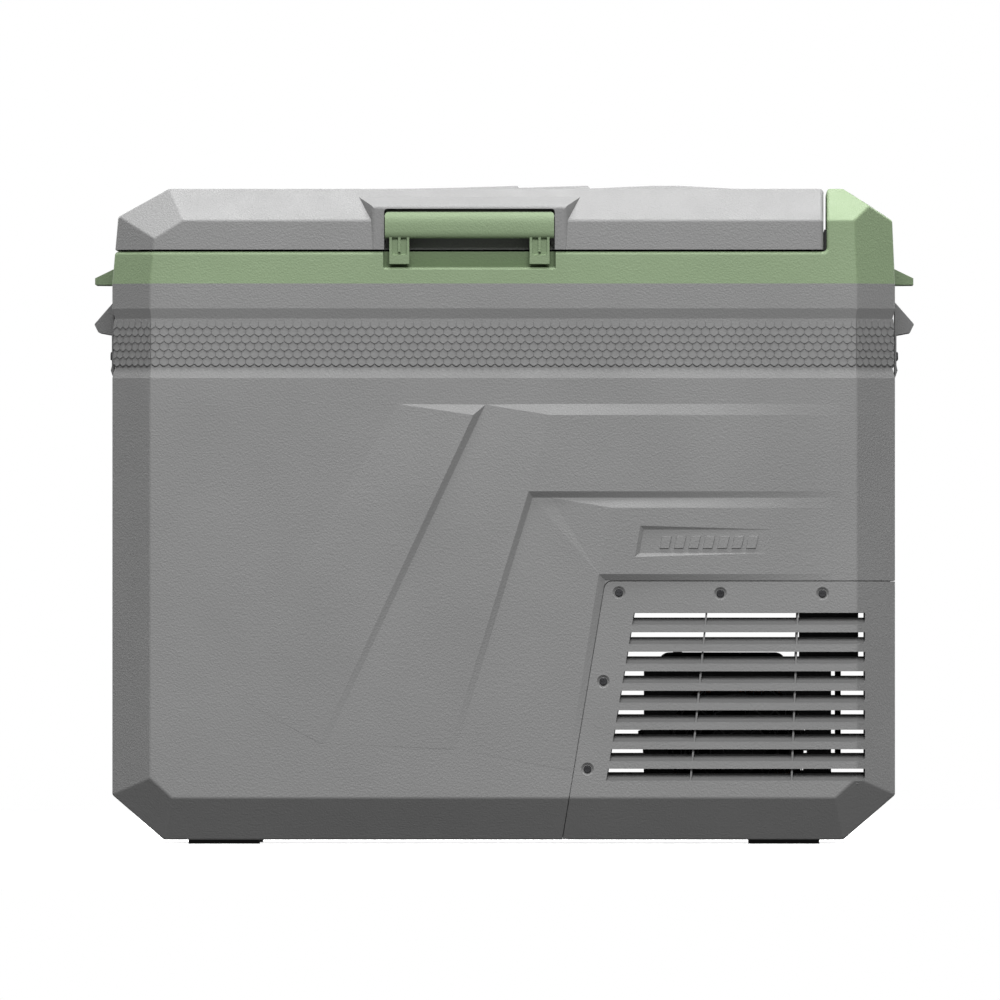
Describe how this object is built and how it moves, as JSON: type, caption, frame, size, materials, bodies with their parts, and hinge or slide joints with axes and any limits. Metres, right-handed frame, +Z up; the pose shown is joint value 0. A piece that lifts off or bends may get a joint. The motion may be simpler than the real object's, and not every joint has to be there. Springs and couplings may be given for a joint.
{
  "type": "compressor cooler fridge",
  "caption": "Portable compressor cooler: chamfered insulated body with a stepped tub, rear-hinged lid with snap latch, sloped control panel, side grips and a louvred machine bay.",
  "frame": {"origin": "middle of the whole object's footprint, on the surface that it stands on", "axes": "+X to the right as seen from the latch side, +Y from the latch side to the hinge side, +Z up"},
  "size_m": [0.592, 0.377, 0.4763],
  "materials": {
    "body_grey": "matte",
    "frame_green": "matte",
    "liner_grey": "satin",
    "foam": "matte",
    "evaporator_aluminium": "satin",
    "black_rubber": "matte",
    "screw_steel": "satin",
    "hinge_black": "satin",
    "base_steel": "satin",
    "compressor_black": "satin",
    "coil_metal": "satin",
    "copper": "satin",
    "black_plastic": "satin",
    "panel_gloss": "gloss",
    "display_glass": "gloss",
    "board_green": "satin",
    "button_grey": "matte",
    "lamp_white": "satin"
  },
  "bodies": {
    "cooler": {"base_plate": "base_steel", "cabin_lamp": "lamp_white", "compressor": "compressor_black", "compressor_cover": "body_grey", "compressor_grommets": "black_rubber", "condenser_fins": "coil_metal", "condenser_tube": "copper", "control_box": "black_plastic", "cover_screws": "screw_steel", "discharge_line": "compressor_black", "display_lens": "display_glass", "evaporator_plate": "evaporator_aluminium", "fan_frame": "black_plastic", "filter_drier": "copper", "frame_wing_left": "frame_green", "frame_wing_right": "frame_green", "grip_screws": "screw_steel", "heat_sink": "coil_metal", "hinge_brackets": "hinge_black", "hinge_pins": "screw_steel", "hinge_screws": "screw_steel", "housing_seal": "black_rubber", "inner_liner": "liner_grey", "insulation_foam": "foam", "latch_keepers": "frame_green", "liquid_line": "copper", "outer_shell": "body_grey", "panel_bezel": "panel_gloss", "panel_board": "board_green", "power_socket": "black_plastic", "rubber_feet": "black_rubber", "side_grip_left": "body_grey", "side_grip_right": "body_grey", "socket_cap_pin": "screw_steel", "socket_housing": "black_plastic", "suction_line": "copper", "top_frame": "frame_green"},
    "lid": {"lid_shell": "body_grey", "lid_foam": "foam", "lid_liner": "liner_grey", "lid_gasket": "black_rubber", "lid_screws": "screw_steel", "lid_hinge_leaves": "hinge_black", "lid_hinge_screws": "screw_steel", "latch_pin": "screw_steel"},
    "latch": {"latch_bar": "frame_green"},
    "fan": {"fan_rotor": "black_plastic"},
    "power_cap": {"socket_cap": "black_plastic"},
    "power_button": {"button_power": "button_grey"},
    "set_button": {"button_set": "button_grey"},
    "up_button": {"button_up": "button_grey"},
    "down_button": {"button_down": "button_grey"}
  },
  "joints": [
    {"name": "lid_hinge", "type": "hinge", "parent": "cooler", "child": "lid", "pos_m": [0, 0.184, 0.4283], "axis": [-1, 0, 0], "range_deg": [0, 95]},
    {"name": "latch_pivot", "type": "hinge", "parent": "lid", "child": "latch", "pos_m": [-0.0245, -0.1816, 0.4518], "axis": [-1, 0, 0], "range_deg": [0, 55]},
    {"name": "fan_spin", "type": "hinge", "parent": "cooler", "child": "fan", "pos_m": [0.1685, -0.135, 0.07], "axis": [0, 1, 0], "continuous": true},
    {"name": "socket_cap_hinge", "type": "hinge", "parent": "cooler", "child": "power_cap", "pos_m": [0.2796, 0.07, 0.1806], "axis": [0, -1, 0], "range_deg": [0, 100]},
    {"name": "power_press", "type": "slide", "parent": "cooler", "child": "power_button", "axis": [-0.5411, 0, -0.8409], "range_m": [0, 0.0008], "stiffness_N_per_m": 500},
    {"name": "set_press", "type": "slide", "parent": "cooler", "child": "set_button", "axis": [-0.5411, 0, -0.8409], "range_m": [0, 0.0008], "stiffness_N_per_m": 500},
    {"name": "up_press", "type": "slide", "parent": "cooler", "child": "up_button", "axis": [-0.5411, 0, -0.8409], "range_m": [0, 0.0008], "stiffness_N_per_m": 500},
    {"name": "down_press", "type": "slide", "parent": "cooler", "child": "down_button", "axis": [-0.5411, 0, -0.8409], "range_m": [0, 0.0008], "stiffness_N_per_m": 500}
  ]
}
